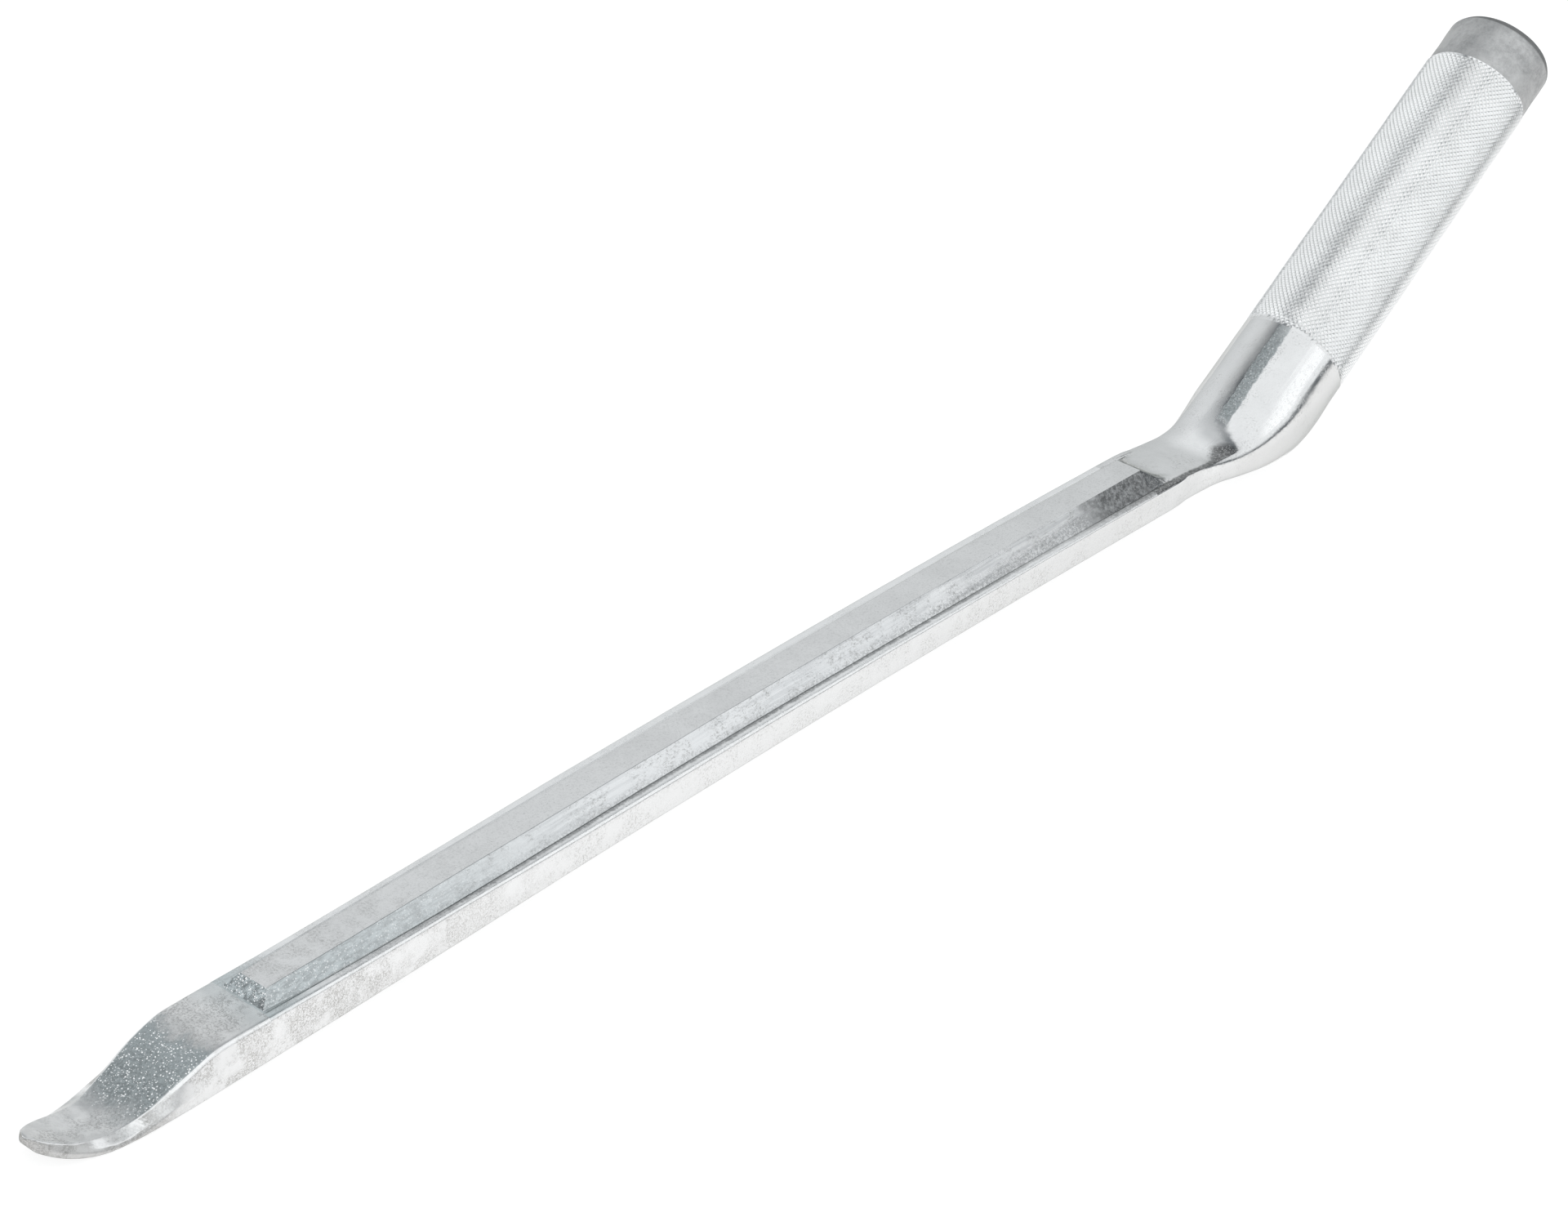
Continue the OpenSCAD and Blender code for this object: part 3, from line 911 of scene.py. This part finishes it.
    # painted highlight streak along the near edge: white and less metallic
    color = n.blend(n.math("MULTIPLY", edge_highlight, 0.9), color, WHITE)
    blasted = n.blend(n.step(n.noise(at, 2.4, 6.0, 0.75), 0.38, 0.62), teal(0.30),
                      teal(0.53))
    color = n.blend(n.math("MULTIPLY", stripe, 0.92), color, blasted)
    glint, metallic = grains(n, at, n.math("MULTIPLY", n.math(
        "MAXIMUM", n.math("MAXIMUM", stripe, dark), gritty), 0.5))
    # painted glints on the stripe, the painted shade and the gritty near edge
    color = n.blend(glint, color, WHITE)
    metallic = n.math("MINIMUM", metallic, n.math("SUBTRACT", 1.0, n.math(
        "MULTIPLY", n.math("MULTIPLY", painted_hollow_light, n.math("SUBTRACT", 1.0, pocket_shade)), 0.3)))
    metallic = n.math("MINIMUM", metallic, n.math("SUBTRACT", 1.0, n.math(
        "MULTIPLY", edge_highlight, 0.75)))
    gloss = n.step(n.noise(at, 0.5, 4.0, 0.6), 0.3, 0.7, 0.09, 0.17)
    rough = n.math("MAXIMUM", gloss, n.math("MULTIPLY", stripe, 0.5))
    height = n.math("ADD", n.noise(at, 0.6, 5.0, 0.55), n.math("MULTIPLY", stain, -0.15))
    return n.metal(color, rough, n.bump(height, 0.000035, 0.8), metallic)


def knurl_material(name, turn):
    """Bright rolled diamonds with duller, scuffed patches."""
    n = Nodes(name)
    at = n.coords(turn)
    patch = n.step(n.noise(at, 0.1, 4.0, 0.6), 0.4, 0.65)
    color = n.blend(patch, grey(1.0), grey(0.95))
    dirt_and_shade = speckle(n, at, 1.8, 0.56, 0.25, 0.5, 0.65)
    color = n.blend(n.math("MULTIPLY", dirt_and_shade, 0.4), color, grey(0.50, 0.0, 0.02))
    # the plain beginning is the neck's own zinc
    plain = n.step(ragged(n, at, past_s(n, at, NECK_RUN), 0.4, 1.6), 1.3, 0.5)
    color = n.blend(plain, color, grey(0.84))
    rough = n.step(n.noise(at, 1.2, 3.0, 0.6), 0.3, 0.7, 0.17, 0.28)
    rough = n.math("MINIMUM", rough, n.step(plain, 0.0, 1.0, 1.0, 0.18))
    return n.metal(color, rough, n.bump(n.noise(at, 2.0, 3.0, 0.6), 0.000012, 0.8))


def collar_material(name, turn):
    """Dull, mottled, darker zinc with clouded patches and fine grain."""
    n = Nodes(name)
    at = n.coords(turn)
    cloud = n.step(n.noise(at, 0.14, 5.0, 0.6, 0.8), 0.34, 0.66)
    fine = n.step(n.noise(at, 1.3, 8.0, 0.8), 0.42, 0.62)
    color = n.blend(cloud, grey(0.46, 0.004), grey(0.62, 0.0, 0.004))
    color = n.blend(n.math("MULTIPLY", fine, 0.35), color, grey(0.76, 0.0, 0.002))
    dots = speckle(n, at, 2.2, 0.56, 0.4, 0.42, 0.6)
    color = n.blend(n.math("MULTIPLY", dots, 0.5), color, grey(0.20, 0.0, 0.02))
    # the chamfered rim is darker still
    rim = n.step(past_s(n, at, NECK_RUN + GRIP_LEN + 9.7), 0.0, 0.4)
    color = n.blend(n.math("MULTIPLY", rim, 0.75), color, grey(0.20))
    rough = n.step(n.noise(at, 0.8, 4.0, 0.6), 0.3, 0.7, 0.46, 0.62)
    return n.metal(color, rough, n.bump(n.noise(at, 1.2, 5.0, 0.65), 0.00005, 0.9))


for ob, mat in (
    (spoon, spoon_material("zinc_blasted_spoon", LEVEL)),
    (bar, bar_material("zinc_bar", LEVEL)),
    (rib, rib_material("zinc_rib", LEVEL)),
    (neck, neck_material("zinc_neck", LEVEL)),
    (grip, knurl_material("zinc_knurl", ALONG)),
    (collar, collar_material("zinc_collar", ALONG)),
):
    ob.data.materials.append(mat)


# ---------------------------------------------------------------- studio
def studio():
    floor_mesh = bpy.data.meshes.new("floor")
    e = 6.0
    floor_mesh.from_pydata([(-e, -e, 0), (e, -e, 0), (e, e, 0), (-e, e, 0)], [],
                           [(0, 1, 2, 3)])
    floor = bpy.data.objects.new("floor", floor_mesh)
    floor.location.z = -0.0009
    bpy.context.scene.collection.objects.link(floor)
    n = Nodes("pale_floor")
    at = n.coords(0.0, (0.001, 0.001, 0.001))
    far = n.tree.nodes.new("ShaderNodeVectorMath")
    far.operation = "LENGTH"
    n.tree.links.new(at, far.inputs[0])
    glow = n.tree.nodes.new("ShaderNodeEmission")
    glow.inputs["Color"].default_value = (1.0, 1.0, 1.0, 1)
    front = n.step(n.axis(at, "Y"), -0.15, -0.50, 1.0, 0.50)
    rim = n.step(far.outputs["Value"], 0.5, 1.6, 0.79, 0.48)
    n.link(n.math("MULTIPLY", front, rim), glow.inputs["Strength"])
    bsdf = n.tree.nodes.new("ShaderNodeBsdfDiffuse")
    bsdf.inputs["Color"].default_value = (0.3, 0.3, 0.3, 1)
    both = n.tree.nodes.new("ShaderNodeAddShader")
    n.tree.links.new(glow.outputs[0], both.inputs[0])
    n.tree.links.new(bsdf.outputs[0], both.inputs[1])
    n.tree.links.new(both.outputs[0], n.out.inputs["Surface"])
    floor.data.materials.append(n.mat)

    world = bpy.data.worlds.new("studio")
    bpy.context.scene.world = world
    world.use_nodes = True
    t = world.node_tree
    t.nodes.clear()
    out = t.nodes.new("ShaderNodeOutputWorld")
    bg = t.nodes.new("ShaderNodeBackground")
    tex = t.nodes.new("ShaderNodeTexCoord")

    def dot(axis):
        node = t.nodes.new("ShaderNodeVectorMath")
        node.operation = "DOT_PRODUCT"
        t.links.new(tex.outputs["Generated"], node.inputs[0])
        node.inputs[1].default_value = axis
        return node.outputs["Value"]

    def step(value, low, high, a, b):
        node = t.nodes.new("ShaderNodeMapRange")
        node.interpolation_type = "SMOOTHSTEP"
        t.links.new(value, node.inputs["Value"])
        for key, v in (("From Min", low), ("From Max", high), ("To Min", a), ("To Max", b)):
            node.inputs[key].default_value = v
        return node.outputs["Result"]

    def op(kind, a, b):
        node = t.nodes.new("ShaderNodeMath")
        node.operation = kind
        for i, v in enumerate((a, b)):
            if isinstance(v, (int, float)):
                node.inputs[i].default_value = v
            else:
                t.links.new(v, node.inputs[i])
        return node.outputs[0]

    # a broad soft box in front and above, a grey wall behind, and a dark gap between them
    across = dot((0.564, 0.816, -0.125))
    height = dot((0.0, 0.0, 1.0))
    box = op("MULTIPLY", step(across, -0.012, 0.022, 1.0, 0.0),
             step(height, 0.05, 0.20, 0.0, 1.0))
    wall = op("MULTIPLY", step(across, 0.10, 0.28, 0.0, 1.0), step(height, 0.66, 0.88, 1.0, 0.4))
    level = op("ADD", op("MULTIPLY", box, 0.81), op("MULTIPLY", wall, 0.62))
    t.links.new(level, bg.inputs["Strength"])
    bg.inputs["Color"].default_value = (0.99, 1.0, 1.0, 1)
    dim = t.nodes.new("ShaderNodeBackground")
    dim.inputs["Color"].default_value = (0.84, 0.93, 1.0, 1)
    dim.inputs["Strength"].default_value = 0.18
    both = t.nodes.new("ShaderNodeAddShader")
    t.links.new(bg.outputs[0], both.inputs[0])
    t.links.new(dim.outputs[0], both.inputs[1])
    t.links.new(both.outputs[0], out.inputs["Surface"])

    lamp = bpy.data.lights.new("ceiling", "SUN")
    lamp.energy = 0.6
    lamp.angle = math.radians(100)
    sun = bpy.data.objects.new("ceiling", lamp)
    sun.rotation_euler = (math.radians(12), math.radians(-8), 0)
    sun.visible_glossy = False
    bpy.context.scene.collection.objects.link(sun)


studio()

# ---------------------------------------------------------------- camera
cam_data = bpy.data.cameras.new("camera")
cam = bpy.data.objects.new("camera", cam_data)
bpy.context.scene.collection.objects.link(cam)
cam_data.sensor_width = 36.0
cam_data.lens = 77.4
cam_data.clip_start = 0.05
cam_data.clip_end = 50
eye = place([(-494.7, -279.1, 303.6)])[0]
right = np.array([0.6206, -0.7798, 0.0825])
ahead = np.array([0.6990, 0.5025, -0.5089])
c, s = math.cos(TILT), math.sin(TILT)
turn = np.array([[c, 0, -s], [0, 1, 0], [s, 0, c]])
right, ahead = turn @ right, turn @ ahead
ahead /= np.linalg.norm(ahead)
right -= ahead * (right @ ahead)
right /= np.linalg.norm(right)
above = np.cross(right, ahead)
cam.matrix_world = Matrix((
    (right[0], above[0], -ahead[0], eye[0]),
    (right[1], above[1], -ahead[1], eye[1]),
    (right[2], above[2], -ahead[2], eye[2]),
    (0, 0, 0, 1),
))
bpy.context.scene.camera = cam
bpy.context.scene.view_settings.view_transform = "Standard"

bpy.context.view_layer.update()
